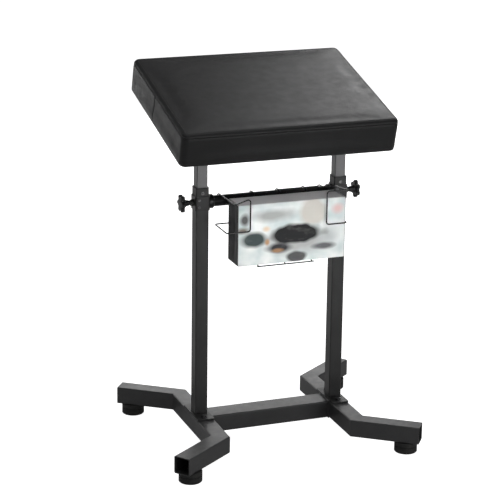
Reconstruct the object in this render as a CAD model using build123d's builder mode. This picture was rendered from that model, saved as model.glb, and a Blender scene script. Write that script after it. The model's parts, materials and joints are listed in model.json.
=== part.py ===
"""Height-adjustable padded work stand: an H-shaped floor frame with four splayed arms, two telescopic
posts joined by a round rail, a tilting cushion on top and a wire rack with a carton hung on the rail.
Millimetres, +Z up, +Y to the back, origin on the floor midway between the posts."""
from build123d import *
import os
from math import cos, radians, sin, tan

os.makedirs("parts", exist_ok=True)

# Screws, shared by every joint
SCREW_RADIUS = 4.0
HEX_RADIUS = 7.2
KEY_SOCKET = 2.9

# Floor frame
POST_SPACING = 330.0
TUBE = 40.0
TUBE_WALL = 2.0
TUBE_RADIUS = 3.0
FLOOR_GAP = 25.0
SIDE_LENGTH = 304.0
ARM_LENGTH = 158.0
ARM_ANGLE = 36.5
CROSSBAR_DEPTH = 55.0
FOOT_RADIUS = 26.0
FOOT_INSET = 33.0
FOOT_RECESS_RADIUS = 9.0
FOOT_RECESS = 8.0
FOOT_GROOVE = (1.2, 2.0)
FOOT_SCREW_HEAD = (8.0, 5.5)
FOOT_NUT = (7.5, 6.0)

# Posts
LOWER_TUBE = 30.0
UPPER_TUBE = 25.0
POST_WALL = 1.5
LOWER_TOP = 598.0
PLATE_LENGTH = 100.0
PLATE_THICK = 4.0
PLATE_BOLT_Y = 34.0
PLATE_BOLT_HEAD = 4.5
PLATE_BOLT_LENGTH = 14.0
UPPER_LENGTH = 460.0
SLIDE_GAP = 0.1
BUSH_DEPTH = 62.0
BUSH_RIM = 2.5
RIVET_Z = LOWER_TOP - 10.0
RIVET_RADIUS = 2.4
RIVET_HEAD = (3.6, 1.2)
GUIDE_HEIGHT = 30.0
GUIDE_RIM = 3.0
CAP_RIM = 1.5
CAP_PLUG = 6.0

# Rail, its brackets and the clamp screws
RAIL_Z = 565.0
RAIL_RADIUS = 12.5
RAIL_WALL = 1.5
BRACKET_HEIGHT = 32.0
BRACKET_WALL = 2.0
BRACKET_CORNER = 3.5
SOCKET_RADIUS = 16.0
SOCKET_LENGTH = 12.0
SLEEVE_RADIUS = 14.0
THREAD_GAP = 0.05
BOSS_RADIUS = 7.5
BOSS_LENGTH = 7.0
NECK_LENGTH = 2.0
HUB_LENGTH = 13.5
HUB_RADIUS = 8.5
HUB_TIP_RADIUS = 5.5
KNOB_THICK = 9.0
KNOB_RADIUS = 15.0
KNOB_LOBES = 6
KNOB_EDGE = 2.5
LOBE_RADIUS = 5.5
LOBE_START = {"left": 0.0, "right": 30.0}
PAD_THICK = 2.5

# Cushion and its tilt joint
CUSHION_WIDTH = 504.0
CUSHION_DEPTH = 377.0
CUSHION_THICK = 79.0
CUSHION_Y = 54.0
CUSHION_Z = 764.5
CUSHION_TILT = 15.3
CUSHION_RADIUS = 15.0
EDGE_ROLL = 9.0
COVER_THICK = 2.0
BOARD_INSET = 14.0
BOARD_THICK = 12.0
PIVOT_Z = 682.0
POST_ABOVE_PIVOT = 12.0
FLANGE_THICK = 3.0
CHEEK_GAP = 14.0
CHEEK_RADIUS = 14.0

# Wire rack and carton
WIRE_RADIUS = 1.6
RACK_FRONT = -97.0
HOOK_GAP = 0.2
HOOK_TAIL = 5.0
HOOK_BEND = 12.0
WIRE_BEND = 6.0
FLOOR_BEND = 8.0
RIGHT_LOOP_X = 147.4
RACK_BACK = -RAIL_RADIUS - WIRE_RADIUS - HOOK_GAP
RACK_FLOOR = 434.0
LOOP_Z = 516.0
HANGER_X = (-44.0, 18.0, 81.0)
HANGER_FRONT_X = (-62.0, 2.0, 66.0)
CARTON_X = (-109.0, 144.0)
CARTON_Y = (-92.0, -28.0)
CARTON_Z = (436.0, 575.0)
CARTON_WALL = 2.0

HALF_SPAN = POST_SPACING / 2
TUBE_TOP = FLOOR_GAP + TUBE
TUBE_MID = FLOOR_GAP + TUBE / 2
POST_FOOT = TUBE_TOP + PLATE_THICK
SIDES = {"left": -1, "right": 1}
ENDS = {"front": -1, "back": 1}


def save(part, name):
    part.label = name
    export_step(part, f"parts/{name}.step")


def facing_right(x, z, y=0.0):
    """Plane square to X, with its normal to the right."""
    return Plane((x, y, z), x_dir=(0, 1, 0), z_dir=(1, 0, 0))


def facing_front(x, y, z):
    """Plane square to Y, with its normal towards the front."""
    return Plane((x, y, z), x_dir=(1, 0, 0), z_dir=(0, -1, 0))


def ring(plane, width, depth, wall, radius):
    """Hollow square section with rounded corners, drawn on a plane."""
    with BuildSketch(plane) as section:
        RectangleRounded(width, depth, radius)
        RectangleRounded(width - 2 * wall, depth - 2 * wall, max(radius - wall, 0.6), mode=Mode.SUBTRACT)
    return section.sketch


# ---------------------------------------------------------------- floor frame
turn = radians(90 - ARM_ANGLE)
mitre_drop = TUBE * tan(turn / 2)


def elbow(side, end):
    """Mid-point of the mitre, the arm's unit direction and the mitre plane's normal."""
    x = side * HALF_SPAN
    y = end * (SIDE_LENGTH / 2 - mitre_drop / 2)
    direction = Vector(side * cos(radians(ARM_ANGLE)), end * sin(radians(ARM_ANGLE)), 0)
    normal = (direction + Vector(0, end, 0)).normalized()
    return Vector(x, y, TUBE_MID), direction, normal


def side_tube(side):
    with BuildPart() as tube:
        start = facing_front(side * HALF_SPAN, -SIDE_LENGTH / 2, TUBE_MID)
        section = ring(start, TUBE, TUBE, TUBE_WALL, TUBE_RADIUS)
        extrude(section, amount=-SIDE_LENGTH)
        for end in ENDS.values():
            corner, _, normal = elbow(side, end)
            split(bisect_by=Plane(origin=corner, z_dir=normal), keep=Keep.BOTTOM)
        for end in ENDS.values():
            with Locations((side * HALF_SPAN, end * PLATE_BOLT_Y, TUBE_TOP)):
                Hole(SCREW_RADIUS, depth=2 * TUBE_WALL)
    return tube.part


def splayed_arm(side, end):
    corner, direction, normal = elbow(side, end)
    reach = ARM_LENGTH - mitre_drop / 2
    with BuildPart() as arm:
        start = Plane(origin=corner - direction * TUBE, x_dir=(0, 0, 1), z_dir=direction)
        section = ring(start, TUBE, TUBE, TUBE_WALL, TUBE_RADIUS)
        extrude(section, amount=reach + TUBE)
        split(bisect_by=Plane(origin=corner, z_dir=normal), keep=Keep.TOP)
        foot = corner + direction * (reach - FOOT_INSET)
        with Locations((foot.X, foot.Y, FLOOR_GAP + TUBE_WALL)):
            Hole(SCREW_RADIUS, depth=2 * TUBE_WALL)
    return arm.part


def foot_centre(side, end):
    corner, direction, _ = elbow(side, end)
    spot = corner + direction * (ARM_LENGTH - mitre_drop / 2 - FOOT_INSET)
    return spot.X, spot.Y


def rubber_foot(side, end):
    """Ribbed rubber foot with a counterbore for its screw."""
    x, y = foot_centre(side, end)
    with BuildPart() as foot:
        with BuildSketch(Plane((x, y, 0))):
            Circle(FOOT_RADIUS)
        extrude(amount=FLOOR_GAP)
        chamfer(foot.edges().filter_by(GeomType.CIRCLE), 1.5)
        groove_depth, groove_height = FOOT_GROOVE
        with BuildSketch(Plane((x, y, FLOOR_GAP * 0.55))):
            Circle(FOOT_RADIUS)
            Circle(FOOT_RADIUS - groove_depth, mode=Mode.SUBTRACT)
        extrude(amount=groove_height, mode=Mode.SUBTRACT)
        with BuildSketch(Plane((x, y, 0))):
            Circle(FOOT_RECESS_RADIUS)
        extrude(amount=FOOT_RECESS, mode=Mode.SUBTRACT)
        with BuildSketch(Plane((x, y, FOOT_RECESS))):
            Circle(SCREW_RADIUS)
        extrude(amount=FLOOR_GAP - FOOT_RECESS, mode=Mode.SUBTRACT)
    return foot.part


for side_name, side in SIDES.items():
    save(side_tube(side), f"base_side_tube_{side_name}")
    for end_name, end in ENDS.items():
        save(splayed_arm(side, end), f"base_arm_{end_name}_{side_name}")
        save(rubber_foot(side, end), f"foot_{end_name}_{side_name}")

with BuildPart() as foot_screws:
    for side in SIDES.values():
        for end in ENDS.values():
            x, y = foot_centre(side, end)
            head_radius, head_height = FOOT_SCREW_HEAD
            with BuildSketch(Plane((x, y, FOOT_RECESS))):
                Circle(SCREW_RADIUS)
            extrude(amount=FLOOR_GAP + TUBE_WALL)
            with BuildSketch(Plane((x, y, FOOT_RECESS - head_height))):
                Circle(head_radius)
                RegularPolygon(KEY_SOCKET, 6, mode=Mode.SUBTRACT)
            extrude(amount=head_height)
save(foot_screws.part, "foot_screws")

with BuildPart() as foot_nuts:
    for side in SIDES.values():
        for end in ENDS.values():
            x, y = foot_centre(side, end)
            with BuildSketch(Plane((x, y, FLOOR_GAP + TUBE_WALL))):
                RegularPolygon(FOOT_NUT[0], 6)
                Circle(SCREW_RADIUS, mode=Mode.SUBTRACT)
            extrude(amount=FOOT_NUT[1])
save(foot_nuts.part, "foot_nuts")

with BuildPart() as crossbar:
    bar_length = POST_SPACING - TUBE
    start = facing_right(-bar_length / 2, TUBE_MID)
    section = ring(start, CROSSBAR_DEPTH, TUBE, TUBE_WALL, TUBE_RADIUS)
    extrude(section, amount=bar_length)
save(crossbar.part, "crossbar")

# ---------------------------------------------------------------- lower posts
lower_inner = LOWER_TUBE - 2 * POST_WALL


def foot_plate(side):
    with BuildPart() as plate:
        with BuildSketch(Plane((side * HALF_SPAN, 0, TUBE_TOP))):
            RectangleRounded(TUBE, PLATE_LENGTH, 3.0)
            with Locations((0, -PLATE_BOLT_Y), (0, PLATE_BOLT_Y)):
                Circle(SCREW_RADIUS, mode=Mode.SUBTRACT)
        extrude(amount=PLATE_THICK)
    return plate.part


def lower_post(side):
    x = side * HALF_SPAN
    with BuildPart() as post:
        section = ring(Plane((x, 0, POST_FOOT)), LOWER_TUBE, LOWER_TUBE, POST_WALL, 2.5)
        extrude(section, amount=LOWER_TOP - POST_FOOT)
        with BuildSketch(facing_right(x, RAIL_Z)):
            Circle(SCREW_RADIUS + 0.3)
        extrude(amount=side * LOWER_TUBE, mode=Mode.SUBTRACT)
        with BuildSketch(facing_front(x, 0, RIVET_Z)):
            Circle(RIVET_RADIUS)
        extrude(amount=LOWER_TUBE, mode=Mode.SUBTRACT)
    return post.part


def post_bush(side):
    """Plastic guide sleeve in the top of the lower post, with a rim that caps the tube."""
    x = side * HALF_SPAN
    bore = UPPER_TUBE + 2 * SLIDE_GAP
    with BuildPart() as bush:
        with BuildSketch(Plane((x, 0, LOWER_TOP - BUSH_DEPTH))):
            RectangleRounded(lower_inner, lower_inner, 1.0)
            RectangleRounded(bore, bore, 2.0, mode=Mode.SUBTRACT)
        extrude(amount=BUSH_DEPTH)
        with BuildSketch(Plane((x, 0, LOWER_TOP))):
            RectangleRounded(LOWER_TUBE + 0.6, LOWER_TUBE + 0.6, 2.8)
            RectangleRounded(bore, bore, 2.0, mode=Mode.SUBTRACT)
        extrude(amount=BUSH_RIM)
        with BuildSketch(facing_right(x, RAIL_Z)):
            Circle(SCREW_RADIUS + 0.3)
        extrude(amount=side * LOWER_TUBE, mode=Mode.SUBTRACT)
        with BuildSketch(facing_front(x, 0, RIVET_Z)):
            Circle(RIVET_RADIUS)
        extrude(amount=LOWER_TUBE, mode=Mode.SUBTRACT)
    return bush.part


for side_name, side in SIDES.items():
    save(foot_plate(side), f"foot_plate_{side_name}")
    save(lower_post(side), f"lower_post_{side_name}")
    save(post_bush(side), f"post_bush_{side_name}")

with BuildPart() as foot_plate_bolts:
    for side in SIDES.values():
        for end in ENDS.values():
            spot = (side * HALF_SPAN, end * PLATE_BOLT_Y)
            with BuildSketch(Plane((*spot, POST_FOOT))):
                RegularPolygon(HEX_RADIUS, 6)
            extrude(amount=PLATE_BOLT_HEAD)
            with BuildSketch(Plane((*spot, POST_FOOT))):
                Circle(SCREW_RADIUS)
            extrude(amount=-PLATE_BOLT_LENGTH)
save(foot_plate_bolts.part, "foot_plate_bolts")

with BuildPart() as bush_rivets:
    for side in SIDES.values():
        with BuildSketch(facing_front(side * HALF_SPAN, 0, RIVET_Z)):
            Circle(RIVET_RADIUS)
        extrude(amount=LOWER_TUBE / 2, mode=Mode.ADD)
        with BuildSketch(facing_front(side * HALF_SPAN, -LOWER_TUBE / 2, RIVET_Z)):
            Circle(RIVET_HEAD[0])
        extrude(amount=RIVET_HEAD[1])
        with BuildSketch(facing_front(side * HALF_SPAN, 0, RIVET_Z)):
            Circle(RIVET_RADIUS)
        extrude(amount=UPPER_TUBE / 2 + SLIDE_GAP, mode=Mode.SUBTRACT)
save(bush_rivets.part, "bush_rivets")

# ---------------------------------------------------------------- rail and brackets
bracket_face = LOWER_TUBE / 2 + BRACKET_WALL
bracket_screw_x = -0.28 * LOWER_TUBE
bracket_screw_rise = 8.0
bracket_screw_head = (3.2, 1.8)


def rail_bracket(side):
    """Collar round the post with a socket that takes the rail's end."""
    x = side * HALF_SPAN
    with BuildPart() as bracket:
        start = Plane((x, 0, RAIL_Z - BRACKET_HEIGHT / 2))
        section = ring(start, 2 * bracket_face, 2 * bracket_face, BRACKET_WALL, BRACKET_CORNER)
        extrude(section, amount=BRACKET_HEIGHT)
        with BuildSketch(facing_right(x - side * (bracket_face - 0.5), RAIL_Z)):
            Circle(SOCKET_RADIUS)
        extrude(amount=-side * (SOCKET_LENGTH + 0.5))
        lip = bracket.edges().filter_by(GeomType.CIRCLE).sort_by(SortBy.RADIUS)[-1]
        chamfer(lip, 2.0)
        with BuildSketch(facing_right(x - side * (bracket_face + 2.0), RAIL_Z)):
            Circle(RAIL_RADIUS)
        extrude(amount=-side * (SOCKET_LENGTH + 2.0), mode=Mode.SUBTRACT)
        with BuildSketch(facing_right(x, RAIL_Z)):
            Circle(SCREW_RADIUS + 0.3)
        extrude(amount=side * LOWER_TUBE, mode=Mode.SUBTRACT)
    return bracket.part


for side_name, side in SIDES.items():
    save(rail_bracket(side), f"rail_bracket_{side_name}")

rail_end = HALF_SPAN - bracket_face - 2.0
with BuildPart() as rail:
    with BuildSketch(facing_right(-rail_end, RAIL_Z)):
        Circle(RAIL_RADIUS)
        Circle(RAIL_RADIUS - RAIL_WALL, mode=Mode.SUBTRACT)
    extrude(amount=2 * rail_end)
save(rail.part, "rail")

for sleeve_name, (first, last) in {"inner": (23.0, 76.0), "outer": (86.0, 115.0)}.items():
    with BuildPart() as sleeve:
        with BuildSketch(facing_right(first, RAIL_Z)):
            Circle(SLEEVE_RADIUS)
            Circle(RAIL_RADIUS, mode=Mode.SUBTRACT)
        extrude(amount=last - first)
    save(sleeve.part, f"rail_sleeve_{sleeve_name}")

with BuildPart() as bracket_screws:
    for side in SIDES.values():
        for rise in (-bracket_screw_rise, bracket_screw_rise):
            x = side * HALF_SPAN + bracket_screw_x
            with BuildSketch(facing_front(x, -bracket_face, RAIL_Z + rise)):
                Circle(bracket_screw_head[0])
            extrude(amount=bracket_screw_head[1])
save(bracket_screws.part, "bracket_screws")

# ---------------------------------------------------------------- clamp screws
boss_start = HALF_SPAN + bracket_face
hub_start = boss_start + BOSS_LENGTH + NECK_LENGTH
knob_start = hub_start + HUB_LENGTH
pad_face = HALF_SPAN + UPPER_TUBE / 2 + 0.05
screw_tip = pad_face + PAD_THICK


def axial(distance, side):
    """Plane across the clamp screw at a distance out from the centre line."""
    return Plane(origin=(side * distance, 0, RAIL_Z), x_dir=(0, 1, 0), z_dir=(side, 0, 0))


for side_name, side in SIDES.items():
    with BuildPart() as clamp_boss:
        with BuildSketch(axial(boss_start, side)):
            Circle(BOSS_RADIUS)
            Circle(SCREW_RADIUS + THREAD_GAP, mode=Mode.SUBTRACT)
        extrude(amount=BOSS_LENGTH)
        rim = clamp_boss.edges().filter_by(GeomType.CIRCLE).group_by(Axis.X)[-1 if side > 0 else 0]
        chamfer(rim.sort_by(SortBy.RADIUS)[-1], 1.0)
    save(clamp_boss.part, f"clamp_boss_{side_name}")

    with BuildPart() as clamp_pad:
        with BuildSketch(axial(pad_face, side)):
            Circle(SCREW_RADIUS - 0.1)
        extrude(amount=PAD_THICK)
    save(clamp_pad.part, f"clamp_pad_{side_name}")

    with BuildPart() as clamp_screw:
        with BuildSketch(axial(screw_tip, side)):
            Circle(SCREW_RADIUS)
        extrude(amount=knob_start + KNOB_THICK / 2 - screw_tip)
        chamfer(clamp_screw.edges().filter_by(GeomType.CIRCLE), 0.5)
    save(clamp_screw.part, f"clamp_screw_{side_name}")

    with BuildPart() as clamp_knob:
        with BuildSketch(axial(knob_start, side)) as outline:
            Circle(KNOB_RADIUS)
            with PolarLocations(KNOB_RADIUS, KNOB_LOBES, start_angle=LOBE_START[side_name]):
                Circle(LOBE_RADIUS)
            fillet(outline.vertices(), 3.0)
        extrude(amount=KNOB_THICK)
        ends = clamp_knob.faces().filter_by(GeomType.PLANE).sort_by(Axis.X)
        fillet(ends[0].edges() + ends[-1].edges(), KNOB_EDGE)
        with BuildSketch(axial(hub_start, side)):
            Circle(HUB_TIP_RADIUS)
        with BuildSketch(axial(knob_start, side)):
            Circle(HUB_RADIUS)
        loft()
        with BuildSketch(axial(hub_start, side)):
            Circle(SCREW_RADIUS)
        extrude(amount=HUB_LENGTH + KNOB_THICK / 2, mode=Mode.SUBTRACT)
    save(clamp_knob.part, f"clamp_knob_{side_name}")

# ---------------------------------------------------------------- upper posts
post_top = PIVOT_Z + POST_ABOVE_PIVOT
upper_inner = UPPER_TUBE - 2 * POST_WALL

for side_name, side in SIDES.items():
    x = side * HALF_SPAN
    with BuildPart() as upper_post:
        start = Plane((x, 0, post_top - UPPER_LENGTH))
        section = ring(start, UPPER_TUBE, UPPER_TUBE, POST_WALL, 2.0)
        extrude(section, amount=UPPER_LENGTH)
        with BuildSketch(facing_right(x - UPPER_TUBE / 2, PIVOT_Z)):
            Circle(SCREW_RADIUS)
        extrude(amount=UPPER_TUBE, mode=Mode.SUBTRACT)
    save(upper_post.part, f"upper_post_{side_name}")

    with BuildPart() as post_cap:
        with BuildSketch(Plane((x, 0, post_top))):
            RectangleRounded(UPPER_TUBE, UPPER_TUBE, 2.0)
        extrude(amount=CAP_RIM)
        with BuildSketch(Plane((x, 0, post_top))):
            RectangleRounded(upper_inner, upper_inner, 0.6)
        extrude(amount=-CAP_PLUG)
    save(post_cap.part, f"upper_post_cap_{side_name}")

    with BuildPart() as post_guide:
        guide_width = lower_inner - 2 * SLIDE_GAP
        with BuildSketch(Plane((x, 0, post_top - UPPER_LENGTH))):
            RectangleRounded(guide_width, guide_width, 0.9)
        extrude(amount=-GUIDE_RIM)
        with BuildSketch(Plane((x, 0, post_top - UPPER_LENGTH))):
            RectangleRounded(upper_inner, upper_inner, 0.6)
        extrude(amount=GUIDE_HEIGHT)
    save(post_guide.part, f"upper_post_guide_{side_name}")

    cheek_outer = CHEEK_GAP + FLANGE_THICK
    with BuildPart() as pivot_bolt:
        with BuildSketch(facing_right(x - side * cheek_outer, PIVOT_Z)):
            Circle(SCREW_RADIUS)
        extrude(amount=side * (2 * cheek_outer + 9.0))
        with BuildSketch(facing_right(x - side * (cheek_outer + 0.3), PIVOT_Z)):
            RegularPolygon(HEX_RADIUS, 6)
        extrude(amount=-side * 5.0)
        with BuildSketch(facing_right(x - side * cheek_outer, PIVOT_Z)):
            Circle(SCREW_RADIUS)
        extrude(amount=-side * 0.3)
    save(pivot_bolt.part, f"pivot_bolt_{side_name}")

    with BuildPart() as pivot_nut:
        with BuildSketch(facing_right(x + side * (cheek_outer + 0.3), PIVOT_Z)):
            RegularPolygon(HEX_RADIUS, 6)
            Circle(SCREW_RADIUS, mode=Mode.SUBTRACT)
        extrude(amount=side * 7.5)
    save(pivot_nut.part, f"pivot_nut_{side_name}")

# ---------------------------------------------------------------- cushion
tilt = radians(CUSHION_TILT)
pad_plane = Plane(origin=(0, CUSHION_Y, CUSHION_Z), x_dir=(1, 0, 0), z_dir=(0, -sin(tilt), cos(tilt)))
underside = pad_plane.offset(-CUSHION_THICK / 2)
board_width = CUSHION_WIDTH - 2 * BOARD_INSET
board_depth = CUSHION_DEPTH - 2 * BOARD_INSET


def rounded_pad(inset):
    """Cushion block with its top edge rounded, shrunk by an inset on every side but the underside."""
    with BuildPart() as block:
        with BuildSketch(underside):
            RectangleRounded(CUSHION_WIDTH - 2 * inset, CUSHION_DEPTH - 2 * inset, CUSHION_RADIUS - inset)
        extrude(amount=CUSHION_THICK - inset)
        top = block.faces().sort_by(Axis(pad_plane.origin, pad_plane.z_dir))[-1]
        fillet(top.edges(), EDGE_ROLL - inset)
    return block.part


with BuildPart() as cushion_cover:
    add(rounded_pad(0.0))
    add(rounded_pad(COVER_THICK), mode=Mode.SUBTRACT)
save(cushion_cover.part, "cushion_cover")

with BuildPart() as cushion_foam:
    add(rounded_pad(COVER_THICK))
    with BuildSketch(underside):
        RectangleRounded(board_width, board_depth, CUSHION_RADIUS - BOARD_INSET)
    extrude(amount=BOARD_THICK, mode=Mode.SUBTRACT)
save(cushion_foam.part, "cushion_foam")

with BuildPart() as cushion_board:
    with BuildSketch(underside):
        RectangleRounded(board_width, board_depth, CUSHION_RADIUS - BOARD_INSET)
    extrude(amount=BOARD_THICK)
save(cushion_board.part, "cushion_board")

dust_cover_thick = 0.8
with BuildPart() as dust_cover:
    with BuildSketch(underside):
        RectangleRounded(CUSHION_WIDTH - 24, CUSHION_DEPTH - 24, CUSHION_RADIUS - 12)
    extrude(amount=-dust_cover_thick)
save(dust_cover.part, "cushion_dust_cover")

# Distance square to the board from the pivot to the dust cover's face
pivot_to_cover = ((CUSHION_Z - PIVOT_Z) * cos(tilt) - CUSHION_Y * sin(tilt)
                  - CUSHION_THICK / 2 - dust_cover_thick)
flange_width = 70.0
flange_depth = 96.0
flange_screws = [(u, v) for u in (-26.0, 26.0) for v in (-38.0, 38.0)]
flange_screw_head = (4.8, 2.6)


def pivot_plane(side, height):
    """Plane parallel to the board, a height above the tilt axis."""
    return Plane(origin=(side * HALF_SPAN, 0, PIVOT_Z), x_dir=(1, 0, 0),
                 z_dir=(0, -sin(tilt), cos(tilt))).offset(height)


def tilt_bracket(side):
    """Flanged fork: two cheeks either side of the post under a plate screwed to the board."""
    across = Plane(origin=(side * HALF_SPAN, 0, PIVOT_Z), x_dir=(0, cos(tilt), sin(tilt)), z_dir=(1, 0, 0))
    rise = pivot_to_cover - FLANGE_THICK
    with BuildPart() as bracket:
        with BuildSketch(pivot_plane(side, rise)):
            RectangleRounded(flange_width, flange_depth, 6.0)
            with Locations(*flange_screws):
                Circle(2.6, mode=Mode.SUBTRACT)
        extrude(amount=FLANGE_THICK)
        for start in (CHEEK_GAP, -CHEEK_GAP - FLANGE_THICK):
            with BuildSketch(across.offset(start)):
                Circle(CHEEK_RADIUS)
                with BuildLine():
                    Polyline((-CHEEK_RADIUS, 0), (CHEEK_RADIUS, 0), (26.0, rise), (-26.0, rise), close=True)
                make_face()
                Circle(SCREW_RADIUS + THREAD_GAP, mode=Mode.SUBTRACT)
            extrude(amount=FLANGE_THICK)
    return bracket.part


for side_name, side in SIDES.items():
    save(tilt_bracket(side), f"tilt_bracket_{side_name}")

with BuildPart() as tilt_bracket_screws:
    for side in SIDES.values():
        plate = pivot_plane(side, pivot_to_cover)
        for u, v in flange_screws:
            with BuildSketch(plate.offset(-FLANGE_THICK)):
                with Locations((u, v)):
                    Circle(flange_screw_head[0])
            extrude(amount=-flange_screw_head[1])
save(tilt_bracket_screws.part, "tilt_bracket_screws")

# ---------------------------------------------------------------- wire rack
hook_radius = RAIL_RADIUS + WIRE_RADIUS + HOOK_GAP
rail_top = RAIL_Z + hook_radius


def hook_points(x):
    """First two points of a hook, which starts low behind the rail and rises to its top."""
    return [(x, hook_radius, RAIL_Z - HOOK_TAIL), (x, hook_radius, rail_top)]


def bent_wire(points, bends):
    with BuildPart() as wire:
        with BuildLine() as path:
            FilletPolyline(*points, radius=bends)
        with BuildSketch(Plane(origin=path.line @ 0, z_dir=path.line % 0)):
            Circle(WIRE_RADIUS)
        sweep()
    return wire.part


loop_back = RACK_BACK - 2 * WIRE_RADIUS
rack_wires = {
    "left": [
        *hook_points(-121.0),
        (-119.0, RACK_FRONT, rail_top),
        (-83.0, RACK_FRONT, 590.0),
        (-83.0, RACK_FRONT, LOOP_Z),
        (-137.0, RACK_FRONT, LOOP_Z),
        (-137.0, loop_back, LOOP_Z),
        (HANGER_X[0] - 6.0, loop_back, LOOP_Z),
    ],
    "right": [
        *hook_points(121.0),
        (121.0, -20.5, 581.0),
        (RIGHT_LOOP_X, -24.0, 583.0),
        (RIGHT_LOOP_X, RACK_FRONT, 592.0),
        (98.0, RACK_FRONT, 592.0),
        (98.0, RACK_FRONT, LOOP_Z),
        (RIGHT_LOOP_X, RACK_FRONT, LOOP_Z),
        (RIGHT_LOOP_X, loop_back, LOOP_Z),
        (HANGER_X[2] + 6.0, loop_back, LOOP_Z),
    ],
}
for name, points in rack_wires.items():
    bends = [HOOK_BEND] + [WIRE_BEND] * (len(points) - 3)
    save(bent_wire(points, bends), f"rack_side_wire_{name}")

for name, back_x, front_x in zip(("left", "middle", "right"), HANGER_X, HANGER_FRONT_X):
    points = [
        *hook_points(back_x),
        (back_x, RACK_BACK, rail_top),
        (back_x, RACK_BACK, RACK_FLOOR),
        (front_x, RACK_FRONT + 4.0, RACK_FLOOR),
    ]
    save(bent_wire(points, [HOOK_BEND, HOOK_BEND, FLOOR_BEND]), f"rack_hanger_{name}")

with BuildPart() as rack_floor_wire:
    first, last = HANGER_FRONT_X[0] - 4.0, HANGER_FRONT_X[2] + 4.0
    with BuildSketch(Plane((first, RACK_FRONT, RACK_FLOOR), x_dir=(0, 1, 0), z_dir=(1, 0, 0))):
        Circle(WIRE_RADIUS)
    extrude(amount=last - first)
save(rack_floor_wire.part, "rack_front_wire")

# ---------------------------------------------------------------- carton
carton_size = [high - low for low, high in (CARTON_X, CARTON_Y, CARTON_Z)]
carton_mid = [(low + high) / 2 for low, high in (CARTON_X, CARTON_Y)]
with BuildPart() as carton:
    with BuildSketch(Plane((*carton_mid, CARTON_Z[0]))):
        RectangleRounded(carton_size[0], carton_size[1], 1.0)
    extrude(amount=carton_size[2])
    with BuildSketch(Plane((*carton_mid, CARTON_Z[0] + CARTON_WALL))):
        Rectangle(carton_size[0] - 2 * CARTON_WALL, carton_size[1] - 2 * CARTON_WALL)
    extrude(amount=carton_size[2] - 2 * CARTON_WALL, mode=Mode.SUBTRACT)
save(carton.part, "carton")
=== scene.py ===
"""Looks of the padded work stand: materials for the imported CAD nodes, the simulated leather cushion with
its seams and stitches, the printed carton, weld beads, staples, studio and camera. Metres, +Z up."""

import json
import math

import bpy
import numpy as np
from mathutils import Matrix, Vector
from mathutils.bvhtree import BVHTree


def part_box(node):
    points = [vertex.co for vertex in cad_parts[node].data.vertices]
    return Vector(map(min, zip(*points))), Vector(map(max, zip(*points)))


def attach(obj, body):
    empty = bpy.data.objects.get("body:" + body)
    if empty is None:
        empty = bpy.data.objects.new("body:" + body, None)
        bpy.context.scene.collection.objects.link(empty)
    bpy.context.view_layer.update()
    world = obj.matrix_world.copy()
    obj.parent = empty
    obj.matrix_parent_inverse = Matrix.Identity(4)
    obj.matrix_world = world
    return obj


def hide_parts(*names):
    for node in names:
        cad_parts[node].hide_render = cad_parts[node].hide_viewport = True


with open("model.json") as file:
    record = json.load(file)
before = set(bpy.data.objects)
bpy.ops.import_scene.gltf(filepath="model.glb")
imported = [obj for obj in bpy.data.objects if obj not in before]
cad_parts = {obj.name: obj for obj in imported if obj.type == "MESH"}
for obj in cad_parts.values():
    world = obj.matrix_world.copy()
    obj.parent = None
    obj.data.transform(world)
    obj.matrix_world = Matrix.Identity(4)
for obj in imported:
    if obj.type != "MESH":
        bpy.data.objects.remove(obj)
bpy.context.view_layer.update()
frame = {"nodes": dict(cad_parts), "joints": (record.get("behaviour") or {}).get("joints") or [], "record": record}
nodes = frame["nodes"]
MM = 0.001

# ------------------------------------------------------------------ driving values
# Camera of the photo's view: place in metres, angles in degrees
CAMERA_PLACE = (-1.4901, -3.7941, 1.6793)
CAMERA_YAW = -20.81
CAMERA_PITCH = 15.12
CAMERA_ROLL = 0.774
LENS = 135.63
LENS_SHIFT = -0.12
FLOOR_REACH = 14.0
FLOOR_GLOW = 0.95

# Cushion's outline and its swelling
PAD_CORNER = 15 * MM
LEAST_CORNER = 6 * MM
CORNER_STEPS = 14
STATION = 4 * MM
PAD_SWELL = 3.0 * MM
SIDE_SWELL = 0.7 * PAD_SWELL
SEAM_MARGIN = 6 * MM
CROWN_RUN = 70 * MM
SIDE_TOP_FADE = 14 * MM
SIDE_FOOT_FADE = 12 * MM
PUCKER = 0.12 * MM

# Cloth simulation of the pad
PAD_SLACK = 4 * MM
SHELL_ROUND = 11 * MM
VOXEL = 6 * MM
HELD_HEIGHT = 14 * MM
HELD_FADE = 10 * MM
CLOTH_FRAMES = 20
MOVE_LIMIT = 1.6 * PAD_SWELL
RAY_START = 50 * MM
RAY_LIMIT = 0.985

# Seams and stitches
SIDE_SEAM_V = 12 * MM
SEAM_REACH = 6 * MM
GROOVE_DEPTH = 1.3 * MM
GROOVE_WIDTH = 0.8 * MM
LIP_HEIGHT = 0.35 * MM
LIP_GAP = 2.4 * MM
LIP_WIDTH = 1.4 * MM
STITCH_PITCH = 4.6 * MM
STITCH_LENGTH = 3.3 * MM
STITCH_SINK = 0.35 * MM
STITCH_RISE = 0.28 * MM
THREAD_RADIUS = 0.42 * MM
SIDE_STITCH_GAP = 2.6 * MM
SIDE_STITCH_TOP = 13 * MM
SIDE_STITCH_FOOT = 6 * MM

DUST_COVER = 0.8 * MM
STAPLE_INSET = 16 * MM
STAPLE_END_GAP = 20 * MM
STAPLE_REACH = 5 * MM
STAPLE_LEG = 1.2 * MM
STAPLE_RADIUS = 0.35 * MM
STAPLE_PROUD = 0.3 * MM

WELD_STEP = 1.6 * MM
WELD_RADIUS = 1.7 * MM
WELD_RIPPLE = 0.16

CARTON_PINCH = 2.2 * MM
CARTON_FLAP = 30 * MM
CARTON_LEVELS = 20


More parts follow.
